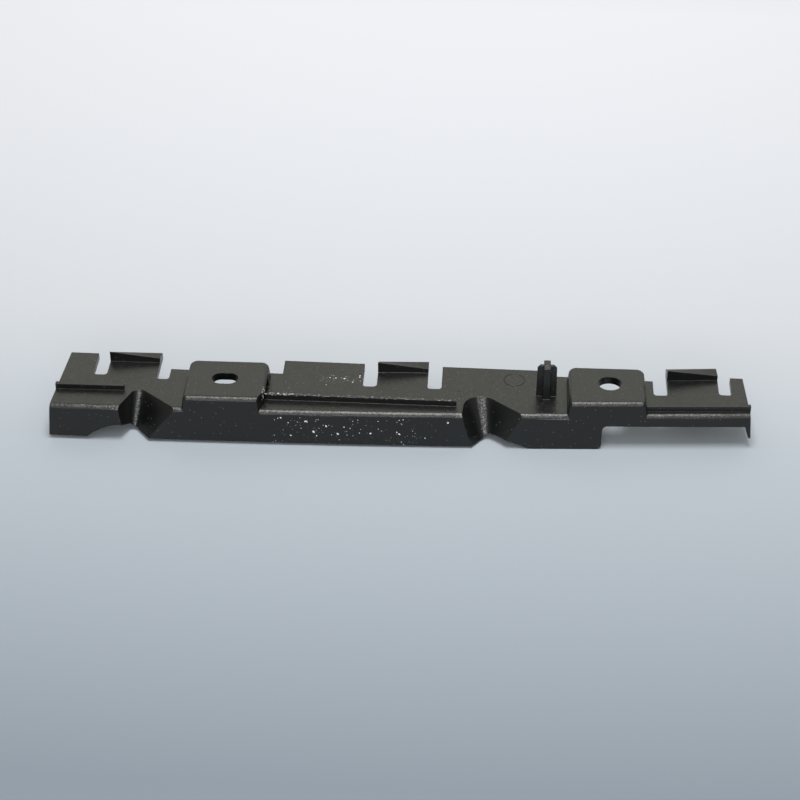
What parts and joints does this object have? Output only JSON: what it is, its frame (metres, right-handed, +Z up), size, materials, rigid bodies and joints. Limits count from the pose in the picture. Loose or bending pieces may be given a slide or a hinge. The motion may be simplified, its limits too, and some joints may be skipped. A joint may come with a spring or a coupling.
{
  "type": "bumper mounting bracket",
  "caption": "Moulded plastic bracket that holds a bumper skin: raised bolt seats, hooked snap tabs, a cross-shaped locating pin and a stiffening flange.",
  "frame": {"origin": "centre of the round hole on the seating plane shared by both raised seats", "axes": "+X along the length towards the end with the short web, +Y from the flange towards the hooked tabs, +Z up out of the seats"},
  "size_m": [0.2985, 0.0436, 0.0331],
  "materials": {
    "black_plastic": "satin, fine-grained moulded polypropylene"
  },
  "bodies": {
    "root": {"bracket": "black_plastic"}
  },
  "joints": []
}
